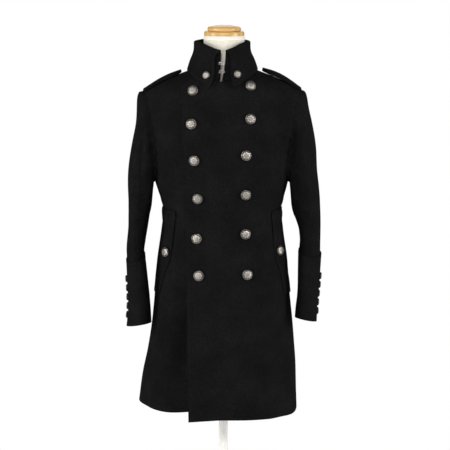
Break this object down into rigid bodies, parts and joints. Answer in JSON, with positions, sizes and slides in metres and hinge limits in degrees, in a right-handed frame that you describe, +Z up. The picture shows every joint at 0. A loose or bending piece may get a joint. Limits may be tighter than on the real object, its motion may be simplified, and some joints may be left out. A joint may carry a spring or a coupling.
{
  "type": "napoleon coat on a dress form",
  "caption": "Double-breasted black wool coat with a stand-and-fall collar, shoulder straps, pocket flaps and silver buttons, worn on a linen dress form with a round foot.",
  "frame": {"origin": "on the floor, at the middle of the round foot's underside", "axes": "+Z up along the pole, the coat's front towards -Y, +X to the wearer's left"},
  "size_m": [0.544, 0.38, 1.5283],
  "materials": {
    "wool": "matt melton nap with a faint sheen",
    "button_metal": "antique silver, worn bright on the high parts",
    "hook_steel": "bright bent wire",
    "linen": "plain woven linen cover",
    "wood": "turned and waxed",
    "stand_paint": "satin cream powder coat"
  },
  "bodies": {
    "root": {"front_left": "wool", "front_right": "wool", "back_left": "wool", "back_right": "wool", "sleeve_upper_left": "wool", "sleeve_upper_right": "wool", "sleeve_under_left": "wool", "sleeve_under_right": "wool", "cuff_left": "wool", "cuff_right": "wool", "collar_stand": "wool", "collar_fall": "wool", "epaulette_left": "wool", "epaulette_right": "wool", "flap_left": "wool", "flap_right": "wool", "button_left_1": "button_metal", "button_left_2": "button_metal", "button_left_3": "button_metal", "button_left_4": "button_metal", "button_left_5": "button_metal", "button_left_6": "button_metal", "button_right_1": "button_metal", "button_right_2": "button_metal", "button_right_3": "button_metal", "button_right_4": "button_metal", "button_right_5": "button_metal", "button_right_6": "button_metal", "button_flap_left": "button_metal", "button_flap_right": "button_metal", "button_collar_left": "button_metal", "button_collar_right": "button_metal", "button_cuff_left_1": "button_metal", "button_cuff_left_2": "button_metal", "button_cuff_left_3": "button_metal", "button_cuff_left_4": "button_metal", "button_cuff_left_5": "button_metal", "button_cuff_right_1": "button_metal", "button_cuff_right_2": "button_metal", "button_cuff_right_3": "button_metal", "button_cuff_right_4": "button_metal", "button_cuff_right_5": "button_metal", "hook_upper": "hook_steel", "hook_lower": "hook_steel", "form_torso": "linen", "cap_lower": "wood", "cap_upper": "wood", "stand_pole": "stand_paint", "stand_base": "stand_paint"}
  },
  "joints": []
}
